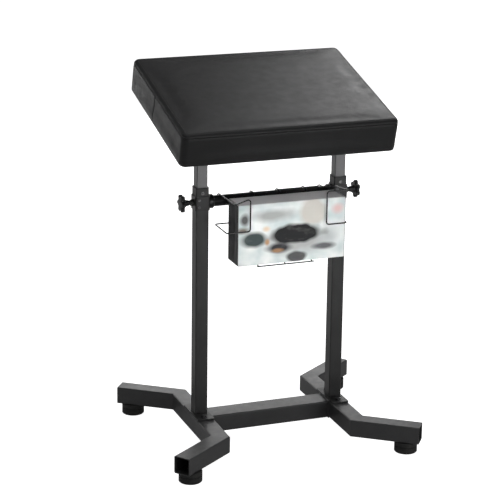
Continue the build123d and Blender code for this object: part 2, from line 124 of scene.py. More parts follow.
# ------------------------------------------------------------------ material helpers
def surface(name, color, roughness, **inputs):
    """Principled material with its uniform values on the shader's own sockets."""
    material = bpy.data.materials.new(name)
    material.use_nodes = True
    shader = material.node_tree.nodes["Principled BSDF"]
    shader.inputs["Base Color"].default_value = (*color, 1)
    shader.inputs["Roughness"].default_value = roughness
    for key, value in inputs.items():
        shader.inputs[key.replace("_", " ")].default_value = value
    return material


def add(material, kind, inputs=None, **settings):
    """New node; an input is a number, a tuple or another node's socket."""
    tree = material.node_tree
    item = tree.nodes.new(kind)
    for key, value in settings.items():
        setattr(item, key, value)
    for key, value in (inputs or {}).items():
        if isinstance(value, bpy.types.NodeSocket):
            tree.links.new(value, item.inputs[key])
        else:
            item.inputs[key].default_value = value
    return item


def feed(material, socket, value):
    shader = material.node_tree.nodes["Principled BSDF"]
    material.node_tree.links.new(value, shader.inputs[socket])


def place(material, stretch=(1, 1, 1)):
    """Object coordinates, stretched per axis."""
    spot = add(material, "ShaderNodeTexCoord").outputs["Object"]
    return add(material, "ShaderNodeMapping", {"Vector": spot, "Scale": stretch}).outputs[0]


def noise(material, scale, detail=2.0, stretch=(1, 1, 1)):
    inputs = {"Vector": place(material, stretch), "Scale": scale, "Detail": detail}
    return add(material, "ShaderNodeTexNoise", inputs).outputs[0]


def remap(material, value, low, high, to_low, to_high):
    """Value taken from the range low..high to the range to_low..to_high."""
    inputs = {"Value": value, "From Min": low, "From Max": high, "To Min": to_low, "To Max": to_high}
    return add(material, "ShaderNodeMapRange", inputs).outputs[0]


def math_node(material, operation, first, second=0.0):
    return add(material, "ShaderNodeMath", {0: first, 1: second}, operation=operation).outputs[0]


def mix(material, share, first, second):
    """Colour between first and second; each is an (r, g, b) or a socket."""
    first, second = ((*c, 1) if isinstance(c, tuple) else c for c in (first, second))
    item = add(material, "ShaderNodeMix", data_type="RGBA")
    tree = material.node_tree
    for index, value in ((0, share), (6, first), (7, second)):
        if isinstance(value, bpy.types.NodeSocket):
            tree.links.new(value, item.inputs[index])
        else:
            item.inputs[index].default_value = value
    return item.outputs[2]


def bump(material, height, distance, below=None):
    inputs = {"Height": height, "Distance": distance}
    if below is not None:
        inputs["Normal"] = below
    return add(material, "ShaderNodeBump", inputs).outputs[0]


def normal_axes(material):
    """X, Y and Z outputs of the surface's normal."""
    normal = add(material, "ShaderNodeNewGeometry").outputs["Normal"]
    return add(material, "ShaderNodeSeparateXYZ", {0: normal}).outputs


def scaled(color, by):
    return tuple(c * by for c in color)


# ------------------------------------------------------------------ materials
def powder_coat(name, tone, roughness, metallic=0.0):
    """Satin powder coat: orange peel, faint mottling, pale specks, and a pale tint on upward faces that is partly
    dust and partly a painted highlight on the tops.
    """
    coat = surface(name, tone, roughness, Metallic=metallic, Specular_IOR_Level=0.4)
    mottle = noise(coat, 14, 4)
    speckle = noise(coat, 900, 1)
    base = mix(coat, remap(coat, mottle, 0.3, 0.7, 0, 1), scaled(tone, 0.8), scaled(tone, 1.25))
    base = mix(coat, remap(coat, speckle, 0.62, 0.78, 0, 0.35), base, scaled(tone, 2.2))
    # Upward faces are tinted pale: partly dust, partly a painted highlight that lightens the tops as a reflection
    # would
    upward = remap(coat, normal_axes(coat)["Z"], 0.8, 1.0, 0, 1)
    dust_and_top_highlight = math_node(coat, "MULTIPLY", upward, remap(coat, noise(coat, 60, 5), 0.45, 0.75, 0, 0.12))
    base = mix(coat, dust_and_top_highlight, base, (0.32, 0.31, 0.29))
    feed(coat, "Base Color", base)
    feed(coat, "Roughness", remap(coat, mottle, 0.3, 0.7, roughness - 0.05, roughness + 0.07))
    feed(coat, "Normal", bump(coat, noise(coat, 420, 2), 0.05 * MM))
    return coat


def leather_material():
    """Black upholstery leather: pebbled grain, fine creases, a slight sheen and soft tone changes."""
    hide = surface("stand_leather", (0.011, 0.011, 0.012), 0.42, Specular_IOR_Level=0.27, Sheen_Weight=0.02)
    tone = noise(hide, 7, 3)
    color = mix(hide, remap(hide, tone, 0.3, 0.7, 0, 1), (0.009, 0.009, 0.0095), (0.014, 0.014, 0.015))
    cells = {"Vector": place(hide), "Scale": 620.0, "Randomness": 1.0}
    pebble = add(hide, "ShaderNodeTexVoronoi", cells, feature="DISTANCE_TO_EDGE").outputs["Distance"]
    valley = remap(hide, pebble, 0.0, 0.22, 0, 1)
    color = mix(hide, remap(hide, valley, 0.0, 1.0, 0.5, 0.0), color, (0.004, 0.004, 0.004))
    feed(hide, "Base Color", color)
    feed(hide, "Roughness", remap(hide, noise(hide, 45, 4), 0.3, 0.7, 0.37, 0.47))
    relief = bump(hide, valley, 0.055 * MM)
    relief = bump(hide, noise(hide, 130, 5), 0.10 * MM, relief)
    feed(hide, "Normal", relief)
    return hide


def thread_material():
    """Black bonded thread with a tight twist."""
    thread = surface("stand_thread", (0.02, 0.02, 0.021), 0.5, Sheen_Weight=0.2)
    twist = add(thread, "ShaderNodeTexWave", {"Vector": place(thread, (1, 1, 1.3)), "Scale": 900.0},
                wave_type="BANDS", bands_direction="DIAGONAL").outputs["Fac"]
    feed(thread, "Base Color", mix(thread, twist, (0.012, 0.012, 0.012), (0.05, 0.05, 0.052)))
    feed(thread, "Normal", bump(thread, twist, 0.08 * MM))
    return thread


def rubber_material():
    """Moulded black rubber, dull, with a dusty bloom and fine pits."""
    rubber = surface("stand_rubber", (0.014, 0.014, 0.014), 0.72, Specular_IOR_Level=0.35)
    bloom = remap(rubber, noise(rubber, 38, 5), 0.42, 0.75, 0, 1)
    feed(rubber, "Base Color", mix(rubber, bloom, (0.011, 0.011, 0.011), (0.032, 0.031, 0.029)))
    feed(rubber, "Roughness", remap(rubber, bloom, 0, 1, 0.62, 0.85))
    feed(rubber, "Normal", bump(rubber, noise(rubber, 700, 3), 0.06 * MM))
    return rubber


def zinc_material():
    """Dark plated steel of the screws, bolts and nuts, with turning marks and bright spots."""
    zinc = surface("stand_dark_zinc", (0.12, 0.12, 0.125), 0.4, Metallic=0.9)
    wear = remap(zinc, noise(zinc, 160, 4), 0.5, 0.72, 0, 1)
    feed(zinc, "Base Color", mix(zinc, wear, (0.07, 0.07, 0.074), (0.26, 0.255, 0.25)))
    feed(zinc, "Roughness", remap(zinc, noise(zinc, 900, 2), 0.3, 0.7, 0.28, 0.5))
    feed(zinc, "Normal", bump(zinc, noise(zinc, 1500, 1, (1, 1, 0.2)), 0.03 * MM))
    return zinc


def plastic_material():
    """Moulded black plastic with a spark-eroded texture and rubbed, smoother high spots."""
    plastic = surface("stand_plastic", (0.008, 0.008, 0.009), 0.48, Specular_IOR_Level=0.35)
    rub = remap(plastic, noise(plastic, 55, 4), 0.4, 0.7, 0, 1)
    feed(plastic, "Base Color", mix(plastic, rub, (0.006, 0.006, 0.007), (0.014, 0.014, 0.015)))
    feed(plastic, "Roughness", remap(plastic, rub, 0, 1, 0.5, 0.34))
    feed(plastic, "Normal", bump(plastic, noise(plastic, 1100, 2), 0.04 * MM))
    return plastic


def brass_material():
    """Dull brass of the pressure pads."""
    brass = surface("stand_brass", (0.62, 0.42, 0.16), 0.35, Metallic=1.0)
    stain = remap(brass, noise(brass, 300, 4), 0.4, 0.7, 0, 1)
    feed(brass, "Base Color", mix(brass, stain, (0.68, 0.48, 0.2), (0.34, 0.23, 0.1)))
    feed(brass, "Roughness", remap(brass, stain, 0, 1, 0.3, 0.5))
    return brass


def wire_material():
    """Glossy black dip coating on the rack's wire, with small drips and scuffs."""
    coat = surface("stand_wire_coat", (0.012, 0.012, 0.013), 0.2, Coat_Weight=0.4, Coat_Roughness=0.12)
    scuff = remap(coat, noise(coat, 240, 4), 0.6, 0.78, 0, 1)
    feed(coat, "Base Color", mix(coat, scuff, (0.011, 0.011, 0.012), (0.06, 0.06, 0.062)))
    feed(coat, "Roughness", remap(coat, noise(coat, 80, 3), 0.3, 0.7, 0.16, 0.34))
    feed(coat, "Normal", bump(coat, noise(coat, 260, 2), 0.06 * MM))
    return coat


def fabric_material():
    """Black spun fabric of the dust cover: crossed fibres under a dimpled press pattern."""
    cloth = surface("stand_dust_fabric", (0.02, 0.02, 0.021), 0.9, Sheen_Weight=0.25)
    across = noise(cloth, 260, 3, (1, 9, 9))
    along = noise(cloth, 260, 3, (9, 1, 1))
    fibres = math_node(cloth, "MAXIMUM", across, along)
    dimple = add(cloth, "ShaderNodeTexVoronoi", {"Vector": place(cloth), "Scale": 420.0}).outputs["Distance"]
    feed(cloth, "Base Color", mix(cloth, remap(cloth, fibres, 0.5, 0.72, 0, 1), (0.013,) * 3, (0.055,) * 3))
    relief = bump(cloth, dimple, 0.12 * MM)
    feed(cloth, "Normal", bump(cloth, fibres, 0.1 * MM, relief))
    return cloth


def wood_material():
    """Plywood board inside the cushion: plies and stretched grain."""
    wood = surface("stand_board_wood", (0.45, 0.32, 0.18), 0.65)
    grain = noise(wood, 60, 6, (0.3, 6, 6))
    dark = remap(wood, grain, 0.35, 0.7, 0, 1)
    feed(wood, "Base Color", mix(wood, dark, (0.5, 0.36, 0.2), (0.3, 0.19, 0.1)))
    feed(wood, "Normal", bump(wood, grain, 0.2 * MM))
    return wood


def card_coordinates(card, box):
    """Across and up shares of the carton's front, each from 0 to 1."""
    low, high = box
    spot = add(card, "ShaderNodeSeparateXYZ", {0: place(card)})
    across = remap(card, spot.outputs["X"], low.x, high.x, 0, 1)
    up = remap(card, spot.outputs["Z"], low.z, high.z, 0, 1)
    return across, up


def patch(card, across, up, centre, radii, wobble, edge):
    """Soft-edged mask of an ellipse on the print; the wobble bends its outline."""
    dx = math_node(card, "DIVIDE", math_node(card, "SUBTRACT", across, centre[0]), radii[0])
    dy = math_node(card, "DIVIDE", math_node(card, "SUBTRACT", up, centre[1]), radii[1])
    reach = math_node(card, "SQRT", math_node(card, "ADD", math_node(card, "MULTIPLY", dx, dx),
                                              math_node(card, "MULTIPLY", dy, dy)))
    reach = math_node(card, "ADD", reach, wobble)
    return remap(card, reach, 1 - edge, 1 + edge, 1, 0)


# Abstract patches of the print: centre and radii as shares of the front, colour, softness of the edge
PRINT = [
    ((0.33, 0.80), (0.20, 0.09), (0.42, 0.44, 0.44), 0.5),
    ((0.69, 0.79), (0.13, 0.22), (0.62, 0.60, 0.56), 0.2),
    ((0.93, 0.82), (0.05, 0.07), (0.78, 0.58, 0.57), 0.6),
    ((0.56, 0.36), (0.29, 0.22), (0.45, 0.46, 0.46), 0.4),
    ((0.55, 0.47), (0.24, 0.16), (0.02, 0.02, 0.02), 0.16),
    ((0.14, 0.42), (0.12, 0.12), (0.06, 0.08, 0.08), 0.3),
    ((0.37, 0.25), (0.11, 0.07), (0.04, 0.04, 0.045), 0.4),
    ((0.36, 0.21), (0.05, 0.03), (0.36, 0.20, 0.11), 0.5),
    ((0.27, 0.36), (0.02, 0.05), (0.50, 0.30, 0.17), 0.5),
    ((0.26, 0.58), (0.03, 0.04), (0.80, 0.68, 0.55), 0.5),
    ((0.55, 0.08), (0.09, 0.09), (0.10, 0.10, 0.10), 0.2),
    ((0.80, 0.22), (0.10, 0.05), (0.14, 0.14, 0.15), 0.4),
    ((0.06, 0.76), (0.04, 0.09), (0.12, 0.12, 0.12), 0.4),
    ((0.04, 0.58), (0.05, 0.05), (0.22, 0.19, 0.16), 0.5),
]


def card_material(box):
    """Printed card with a low gloss: abstract soft patches in front, dark sides, a pale top."""
    card = surface("stand_printed_card", (0.6, 0.65, 0.65), 0.45, Specular_IOR_Level=0.16)
    across, up = card_coordinates(card, box)
    wobble = remap(card, noise(card, 28, 1), 0.3, 0.7, -0.14, 0.14)
    cloud = remap(card, noise(card, 20, 2), 0.35, 0.65, 0, 1)
    ground = mix(card, cloud, (0.60, 0.69, 0.69), (0.92, 0.94, 0.93))
    for centre, radii, color, edge in PRINT:
        ground = mix(card, patch(card, across, up, centre, radii, wobble, edge), ground, color)
    streaks = remap(card, noise(card, 45, 4, (0.6, 1, 1.6)), 0.52, 0.72, 0, 0.07)
    ground = mix(card, streaks, ground, (0.75, 0.76, 0.74))
    normal = normal_axes(card)
    front = remap(card, normal["Y"], -0.8, -0.6, 1, 0)
    above = remap(card, normal["Z"], 0.6, 0.8, 0, 1)
    scuff = remap(card, noise(card, 40, 4), 0.4, 0.65, 0, 1)
    side = mix(card, scuff, (0.008, 0.009, 0.01), (0.03, 0.032, 0.034))
    feed(card, "Base Color", mix(card, front, mix(card, above, side, (0.66, 0.65, 0.66)), ground))
    feed(card, "Roughness", remap(card, noise(card, 25, 3), 0.3, 0.7, 0.38, 0.52))
    feed(card, "Normal", bump(card, noise(card, 18, 3), 0.3 * MM))
    return card


leather = leather_material()
thread = thread_material()
zinc = zinc_material()
fabric = fabric_material()
finishes = {
    "base_paint": powder_coat("stand_base_paint", (0.030, 0.030, 0.031), 0.4),
    "plate_paint": powder_coat("stand_plate_paint", (0.012, 0.012, 0.012), 0.45),
    "post_paint": powder_coat("stand_post_paint", (0.022, 0.022, 0.022), 0.42),
    "rail_paint": powder_coat("stand_rail_paint", (0.010, 0.010, 0.0105), 0.34),
    "upper_paint": powder_coat("stand_upper_paint", (0.13, 0.13, 0.132), 0.38, metallic=0.6),
    "black_rubber": rubber_material(),
    "dark_zinc": zinc,
    "black_plastic": plastic_material(),
    "pad_brass": brass_material(),
    "rack_wire": wire_material(),
    "black_leather": leather,
    "foam": fabric,
    "dust_fabric": fabric,
    "board_wood": wood_material(),
    "printed_card": card_material(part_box("carton")),
}
for part in frame["record"]["subparts"]:
    slots = nodes[part["node"]].data.materials
    slots.clear()
    slots.append(finishes[part["material_slot"]])


# ------------------------------------------------------------------ mesh helpers
def mesh_object(name, points, faces, material, smooth=True):
    mesh = bpy.data.meshes.new(name)
    mesh.from_pydata([tuple(p) for p in points], [], [tuple(f) for f in faces])
    mesh.validate()
    mesh.materials.append(material)
    mesh.polygons.foreach_set("use_smooth", [smooth] * len(mesh.polygons))
    item = bpy.data.objects.new(name, mesh)
    bpy.context.scene.collection.objects.link(item)
    return item


def apply_modifiers(item):
    """Bakes an object's modifiers into its mesh."""
    made = bpy.data.meshes.new_from_object(item.evaluated_get(bpy.context.evaluated_depsgraph_get()))
    item.modifiers.clear()
    item.data = made


def grid_faces(rows, columns, closed=True):
    """Quads between rows of points, each row closed on itself when asked."""
    faces = []
    for r in range(rows - 1):
        for c in range(columns if closed else columns - 1):
            d = (c + 1) % columns
            faces.append((r * columns + c, r * columns + d, (r + 1) * columns + d, (r + 1) * columns + c))
    return faces


def swept_tube(path, radii, sides=8, closed=False):
    """Points and faces of a tube along a path, with a radius for each of its points."""
    path = [Vector(p) for p in path]
    count = len(path)
    points = []
    # A direction that no tube here runs along
    helper = Vector((0.13, 0.27, 0.95)).normalized()
    for i, spot in enumerate(path):
        ahead = path[(i + 1) % count] if closed else path[min(i + 1, count - 1)]
        behind = path[i - 1] if closed else path[max(i - 1, 0)]
        along = (ahead - behind).normalized()
        across = along.cross(helper).normalized()
        up = across.cross(along)
        for s in range(sides):
            turn = 2 * math.pi * s / sides
            points.append(spot + radii[i] * (math.cos(turn) * across + math.sin(turn) * up))
    faces = grid_faces(count, sides)
    if closed:
        last = (count - 1) * sides
        faces += [(last + s, last + (s + 1) % sides, (s + 1) % sides, s) for s in range(sides)]
    else:
        faces.append(tuple(range(sides))[::-1])
        faces.append(tuple((count - 1) * sides + s for s in range(sides)))
    return points, faces


def joined(parts):
    """One list of points and faces from several."""
    points, faces = [], []
    for more_points, more_faces in parts:
        start = len(points)
        points += more_points
        faces += [tuple(start + i for i in face) for face in more_faces]
    return points, faces


# ------------------------------------------------------------------ cushion
# The tilt joint's lower limit is the level pad, which gives the pad's tilt at rest
tilt_joint = next(j for j in frame["joints"] if j["name"] == "cushion_tilt")
tilt = -math.radians(tilt_joint["range_deg"][0])
pad_turn = Matrix.Rotation(tilt, 3, "X")
cover_points = np.array([pad_turn.transposed() @ v.co for v in nodes["cushion_cover"].data.vertices])
pad_low, pad_high = Vector(cover_points.min(0)), Vector(cover_points.max(0))
pad_centre = (pad_low + pad_high) / 2
pad_half = (pad_high - pad_low) / 2


def pad_world(u, v, w):
    """World place of a point given across, back and up from the cushion's centre."""
    return pad_turn @ (pad_centre + Vector((u, v, w)))


def side_stations(half_length, seam=None):
    """Places along a straight side, evenly spaced and closer at a seam."""
    count = round(2 * half_length / STATION)
    stops = list(np.linspace(-half_length, half_length, count + 1))[:-1]
    if seam is not None:
        near = [seam + side * gap * MM for side in (-1, 1) for gap in (0.3, 0.8, 1.5, 2.6, 4.5)]
        stops = sorted([s for s in stops if abs(s - seam) > SEAM_REACH] + near)
    return stops


def outline(inset):
    """Plan outline of the pad, anticlockwise from the front left, drawn in by an inset.

    Every inset has the same number of points, so that rows join up one to one."""
    base_a, base_b = pad_half.x - PAD_CORNER, pad_half.y - PAD_CORNER
    radius = max(PAD_CORNER - inset, LEAST_CORNER)
    a, b = pad_half.x - inset - radius, pad_half.y - inset - radius
    wide = [u * a / base_a for u in side_stations(base_a)]
    front = [(u, -b - radius) for u in wide]
    right = [(a + radius, v * b / base_b) for v in side_stations(base_b, SIDE_SEAM_V)]
    back = [(-u, b + radius) for u in wide]
    left = [(-a - radius, -v * b / base_b) for v in side_stations(base_b, -SIDE_SEAM_V)]
    loop = []
    centres = ((a, -b, -90), (a, b, 0), (-a, b, 90), (-a, -b, 180))
    for side, (cu, cv, start) in zip((front, right, back, left), centres):
        loop += side
        for step in range(CORNER_STEPS):
            turn = math.radians(start + 90 * step / CORNER_STEPS)
            loop.append((cu + radius * math.cos(turn), cv + radius * math.sin(turn)))
    return loop


# (inset from the side, depth below the top) in millimetres, from the underside's margin to the top
SIDE_PROFILE = [
    (12.0, 79.0), (7.0, 79.0), (3.2, 78.5), (1.2, 77.2), (0.3, 75.0), (0.0, 72.0), (0.0, 66.0), (0.0, 59.0),
    (0.0, 51.0), (0.0, 43.0), (0.0, 35.0), (0.0, 28.0), (0.0, 22.0), (0.0, 18.0), (0.1, 15.5), (0.4, 13.0),
    (1.0, 11.2), (1.9, 10.3), (2.3, 9.7), (1.9, 9.1), (1.2, 8.3), (1.1, 7.2), (1.6, 5.7), (2.6, 4.1),
    (4.0, 2.7), (5.4, 1.7), (6.5, 1.25), (7.2, 1.25), (7.9, 0.9), (9.0, 0.45), (11.0, 0.15), (14.0, 0.02),
]
PROFILE_DEPTH = 79.0
SEAM_DEPTH = 9.7 * MM
BOXING_FOOT = 77 * MM
TOP_RINGS = 26
UNDER_RINGS = 8
# Rows of the grid on the boxing, below the top seam, and one near its middle
BOXING_ROWS = slice(UNDER_RINGS + 4, UNDER_RINGS + 17)
BOXING_MIDDLE = UNDER_RINGS + 8
# Stitched rows of the profile, and how far the stitches of each face up
STITCH_ROWS = ((16, 0.1), (21, 0.1), (29, 0.8))


def oval(u, v, share):
    """Outline point drawn in towards the centre, its ring turning from a rectangle into an oval."""
    a, b = pad_half.x, pad_half.y
    reach = math.hypot(u / a, v / b)
    blend = min(2 * share, 1)
    scale = (1 - share) * (1 - blend + blend / reach)
    return u * scale, v * scale


def pad_rows():
    """Rows of (u, v, w) from the underside's centre, up the side, to the top's centre.

    The fractions added to the ring counts keep the innermost rings off the centre."""
    rows = []
    first = outline(SIDE_PROFILE[0][0] * MM)
    for ring in range(UNDER_RINGS):
        share = (ring + 0.2) / UNDER_RINGS
        rows.append([(u * share, v * share, -pad_half.z) for u, v in first])
    for inset, depth in SIDE_PROFILE:
        w = pad_half.z - 2 * pad_half.z * depth / PROFILE_DEPTH
        rows.append([(u, v, w) for u, v in outline(inset * MM)])
    last = outline(SIDE_PROFILE[-1][0] * MM)
    for ring in range(1, TOP_RINGS + 1):
        share = 1 - ring / (TOP_RINGS + 0.3)
        rows.append([(*oval(u, v, 1 - share), pad_half.z) for u, v in last])
    return rows


def shell_block():
    """Rounded block a little smaller than the pad, remeshed for the cloth simulation."""
    plan = [(a * (pad_half.x - PAD_SLACK), b * (pad_half.y - PAD_SLACK)) for a in (-1, 1) for b in (-1, 1)]
    points = [(u, v, w) for w in (-pad_half.z, pad_half.z - PAD_SLACK) for u, v in plan]
    faces = [(0, 1, 3, 2), (4, 6, 7, 5), (0, 4, 5, 1), (2, 3, 7, 6), (0, 2, 6, 4), (1, 5, 7, 3)]
    shell = mesh_object("pad_shell", points, faces, leather)
    rounding = shell.modifiers.new("rounding", "BEVEL")
    rounding.width = SHELL_ROUND
    rounding.segments = 4
    remesh = shell.modifiers.new("remesh", "REMESH")
    remesh.mode = "VOXEL"
    remesh.voxel_size = VOXEL
    apply_modifiers(shell)
    return shell


def inflate(shell):
    """Blows the shell up as cloth under pressure, held at its underside and the foot of its sides."""
    held = shell.vertex_groups.new(name="held")
    for vertex in shell.data.vertices:
        grip = min(max((HELD_HEIGHT - pad_half.z - vertex.co.z) / HELD_FADE, 0), 1)
        if grip > 0:
            held.add([vertex.index], grip, "REPLACE")
    cloth = shell.modifiers.new("cloth", "CLOTH")
    settings = cloth.settings
    settings.quality = 5
    settings.mass = 0.4
    settings.use_pressure = True
    settings.uniform_pressure_force = 4
    settings.tension_stiffness = settings.compression_stiffness = 20
    settings.shear_stiffness = 8
    settings.bending_stiffness = 4
    settings.effector_weights.gravity = 0
    settings.vertex_group_mass = "held"
    cloth.point_cache.frame_start = 1
    cloth.point_cache.frame_end = CLOTH_FRAMES
    for step in range(1, CLOTH_FRAMES + 1):
        bpy.context.scene.frame_set(step)
    apply_modifiers(shell)
    bpy.context.scene.frame_set(1)


def swollen_shell():
    """Search trees of the shell before and after the simulation, in the cushion's own axes."""
    shell = shell_block()
    before = [v.co.copy() for v in shell.data.vertices]
    inflate(shell)
    after = []
    for old, vertex in zip(before, shell.data.vertices):
        move = vertex.co - old
        after.append(old + move * min(1, MOVE_LIMIT / max(move.length, 1e-9)))
    faces = [tuple(f.vertices) for f in shell.data.polygons]
    bpy.data.objects.remove(shell)
    return [BVHTree.FromPolygons(points, faces) for points in (before, after)]


def edge_fade(u, v):
    """Share of the crown at a place: none at the top seam, all of it from CROWN_RUN inwards."""
    share = 1.0
    for half, k in ((pad_half.x, u), (pad_half.y, v)):
        reach = min((half - SEAM_MARGIN - abs(k)) / CROWN_RUN, 1)
        share *= math.sin(max(reach, 0) * math.pi / 2)
    return share


def pucker(along, strength):
    """Small uneven ripple beside a seam, from three waves of unrelated lengths."""
    waves = ((1.0, 410, 0), (0.6, 730, 1.3), (0.5, 173, 0))
    return strength * sum(size * math.sin(along * rate + phase) for size, rate, phase in waves)


def crown(trees, u, v):
    """Rise of the top at a place: read from the simulated shell, or a plain dome without it."""
    if trees is None:
        return PAD_SWELL * edge_fade(u, v)
    half_u, half_v = pad_half.x * RAY_LIMIT, pad_half.y * RAY_LIMIT
    start = Vector((max(-half_u, min(half_u, u)), max(-half_v, min(half_v, v)), pad_half.z + RAY_START))
    hits = [tree.ray_cast(start, Vector((0, 0, -1)))[0] for tree in trees]
    if None in hits:
        return 0.0
    rise = max(0.0, min(PAD_SWELL, hits[1].z - hits[0].z))
    return rise * edge_fade(u, v)


def bulge(trees, u, v, w):
    """Outward swelling of a side at a place: read from the simulated shell, or plain without it."""
    sideways = abs(u) / pad_half.x > abs(v) / pad_half.y
    away = Vector((math.copysign(1, u), 0, 0)) if sideways else Vector((0, math.copysign(1, v), 0))
    if trees is None:
        height = 1 - (w / pad_half.z) ** 2
        along = v / pad_half.y if sideways else u / pad_half.x
        return away * 0.5 * PAD_SWELL * height * max(0, 1 - along * along) ** 0.5
    start = Vector((u, v, w)) + away * RAY_START
    hits = [tree.ray_cast(start, -away)[0] for tree in trees]
    if None in hits:
        return Vector((0, 0, 0))
    grown = (hits[1] - hits[0]).dot(away)
    return away * max(0.0, min(SIDE_SWELL, grown))


def side_seam(u, v, depth):
    """Depth of the joining seam's groove, less its raised lips, at a place on the left or right boxing."""
    gap = abs(v - SIDE_SEAM_V)
    on_boxing = SEAM_DEPTH < depth < BOXING_FOOT
    if not on_boxing or abs(u) < pad_half.x - SEAM_REACH or gap > SEAM_REACH:
        return 0.0
    groove = GROOVE_DEPTH * math.exp(-((gap / GROOVE_WIDTH) ** 2))
    lip = LIP_HEIGHT * math.exp(-(((gap - LIP_GAP) / LIP_WIDTH) ** 2))
    return groove - lip


def side_point(trees, u, v, w, along):
    """Point of the boxing: swollen between its edges and puckered beside the top seam."""
    depth = pad_half.z - w
    edge = Vector((u, v, 0)).normalized()
    share = min(max(1 - depth / SIDE_TOP_FADE, 0), 1)
    hold = min((2 * pad_half.z - depth) / SIDE_FOOT_FADE, 1) * (1 - share)
    spot = Vector((u, v, w + crown(trees, u, v) * share * share))
    spot += bulge(trees, u, v, w) * hold
    near = math.exp(-((depth - SEAM_DEPTH - 2 * MM) / (5 * MM)) ** 2)
    spot += edge * pucker(along, PUCKER) * near
    spot.x -= math.copysign(side_seam(u, v, depth), u)
    return spot


def running_lengths(row):
    """Distance of each point of a row from its first, measured along the row."""
    return list(np.cumsum([0.0] + [math.dist(a, b) for a, b in zip(row[1:], row)]))


def swollen_grid(rows, lengths):
    """Rows of the pad after swelling: a flat underside, the boxing and the crowned top."""
    trees = swollen_shell()
    first_top = UNDER_RINGS + len(SIDE_PROFILE)
    grid = []
    for r, row in enumerate(rows):
        if r < UNDER_RINGS:
            grid.append([Vector(p) for p in row])
        elif r < first_top:
            grid.append([side_point(trees, *p, lengths[c]) for c, p in enumerate(row)])
        else:
            grid.append([Vector((u, v, w + crown(trees, u, v))) for u, v, w in row])
    return grid, Vector((0, 0, pad_half.z + crown(trees, 0, 0)))


def build_cushion():
    """Leather cushion: profile rows round the pad, swollen by the simulated shell, with sewn seams."""
    rows = pad_rows()
    lengths = running_lengths(rows[BOXING_MIDDLE])
    grid, peak = swollen_grid(rows, lengths)
    count = len(rows[0])
    points = [p for row in grid for p in row]
    faces = grid_faces(len(rows), count)
    under, top = len(points), len(points) + 1
    points += [Vector((0, 0, -pad_half.z)), peak]
    last = (len(rows) - 1) * count
    for c in range(count):
        d = (c + 1) % count
        faces.append((under, d, c))
        faces.append((top, last + c, last + d))
    world = [pad_world(*p) for p in points]
    return mesh_object("leather_cushion", world, faces, leather), grid, lengths


def along_loop(loop, lengths, pitch):
    """Evenly spaced (start, end) pairs along a closed loop of points."""
    total = lengths[-1] + (loop[0] - loop[-1]).length
    marks = [*lengths, total]
    ring = [*loop, loop[0]]
    coordinates = np.array(ring)
    count = round(total / pitch)

    def at(length):
        return Vector([np.interp(length % total, marks, coordinates[:, k]) for k in range(3)])

    step = total / count
    return [(at(i * step), at(i * step + STITCH_LENGTH)) for i in range(count)]


def stitch(start, end, out):
    """One stitch: a short thread that rises from the leather and dives back into it."""
    sink, rise = out * -STITCH_SINK, out * STITCH_RISE
    path = [start + sink, start.lerp(end, 0.14) + rise * 0.6, start.lerp(end, 0.5) + rise,
            start.lerp(end, 0.86) + rise * 0.6, end + sink]
    radii = [THREAD_RADIUS * k for k in (0.6, 1, 1, 1, 0.6)]
    return swept_tube(path, radii, 6)


def side_spot(grid, side, v, w):
    """Point on the left or right boxing at a given place back and up."""
    middle = grid[BOXING_MIDDLE]
    on_side = [c for c, spot in enumerate(middle) if spot.x * side > 0]
    column = min(on_side, key=lambda c: abs(middle[c].y - v))
    line = [row[column] for row in grid[BOXING_ROWS]]
    return Vector((np.interp(w, [p.z for p in line], [p.x for p in line]), v, w))


def top_stitches(grid, lengths):
    """Rows of stitches either side of the top seam and on the top's edge."""
    parts = []
    for profile_row, tip in STITCH_ROWS:
        loop = grid[UNDER_RINGS + profile_row]
        for start, end in along_loop(loop, lengths, STITCH_PITCH):
            # The high power turns the direction square to the nearer side
            out = Vector(((start.x / pad_half.x) ** 7, (start.y / pad_half.y) ** 7, 0)).normalized()
            out = out * (1 - tip) + Vector((0, 0, tip))
            parts.append(stitch(start, end, out.normalized()))
    return parts


def side_stitches(grid):
    """Rows of stitches either side of the joining seams."""
    parts = []
    for side in (-1, 1):
        for gap in (-SIDE_STITCH_GAP, SIDE_STITCH_GAP):
            w = pad_half.z - SIDE_STITCH_TOP
            while w > -pad_half.z + SIDE_STITCH_FOOT:
                start = side_spot(grid, side, SIDE_SEAM_V + gap, w)
                end = side_spot(grid, side, SIDE_SEAM_V + gap, w - STITCH_LENGTH)
                parts.append(stitch(start, end, Vector((side, 0, 0))))
                w -= STITCH_PITCH
    return parts


def build_stitches(grid, lengths):
    points, faces = joined(top_stitches(grid, lengths) + side_stitches(grid))
    return mesh_object("cushion_stitches", [pad_world(*p) for p in points], faces, thread)


cushion, pad_grid, pad_lengths = build_cushion()
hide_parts("cushion_cover", "cushion_foam")
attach(cushion, "cushion")
stitches = build_stitches(pad_grid, pad_lengths)
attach(stitches, "cushion")


def build_staples():
    """Staples round the dust cover's edge, under the board."""
    parts = []
    drop = -pad_half.z - DUST_COVER - STAPLE_PROUD
    legs = Vector((0, 0, STAPLE_LEG))
    half_u, half_v = pad_half.x - STAPLE_INSET, pad_half.y - STAPLE_INSET
    across = np.linspace(-half_u + STAPLE_END_GAP, half_u - STAPLE_END_GAP, 12)
    back = np.linspace(-half_v + STAPLE_END_GAP, half_v - STAPLE_END_GAP, 9)
    marks = [(u, v, 1, 0) for u in across for v in (-half_v, half_v)]
    marks += [(u, v, 0, 1) for v in back for u in (-half_u, half_u)]
    for u, v, du, dv in marks:
        ends = [Vector((u + k * du, v + k * dv, drop)) for k in (-STAPLE_REACH, STAPLE_REACH)]
        path = [ends[0] + legs, ends[0], ends[1], ends[1] + legs]
        parts.append(swept_tube(path, [STAPLE_RADIUS] * 4, 6))
    points, faces = joined(parts)
    return mesh_object("dust_cover_staples", [pad_world(*p) for p in points], faces, zinc)


staples = build_staples()
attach(staples, "cushion")


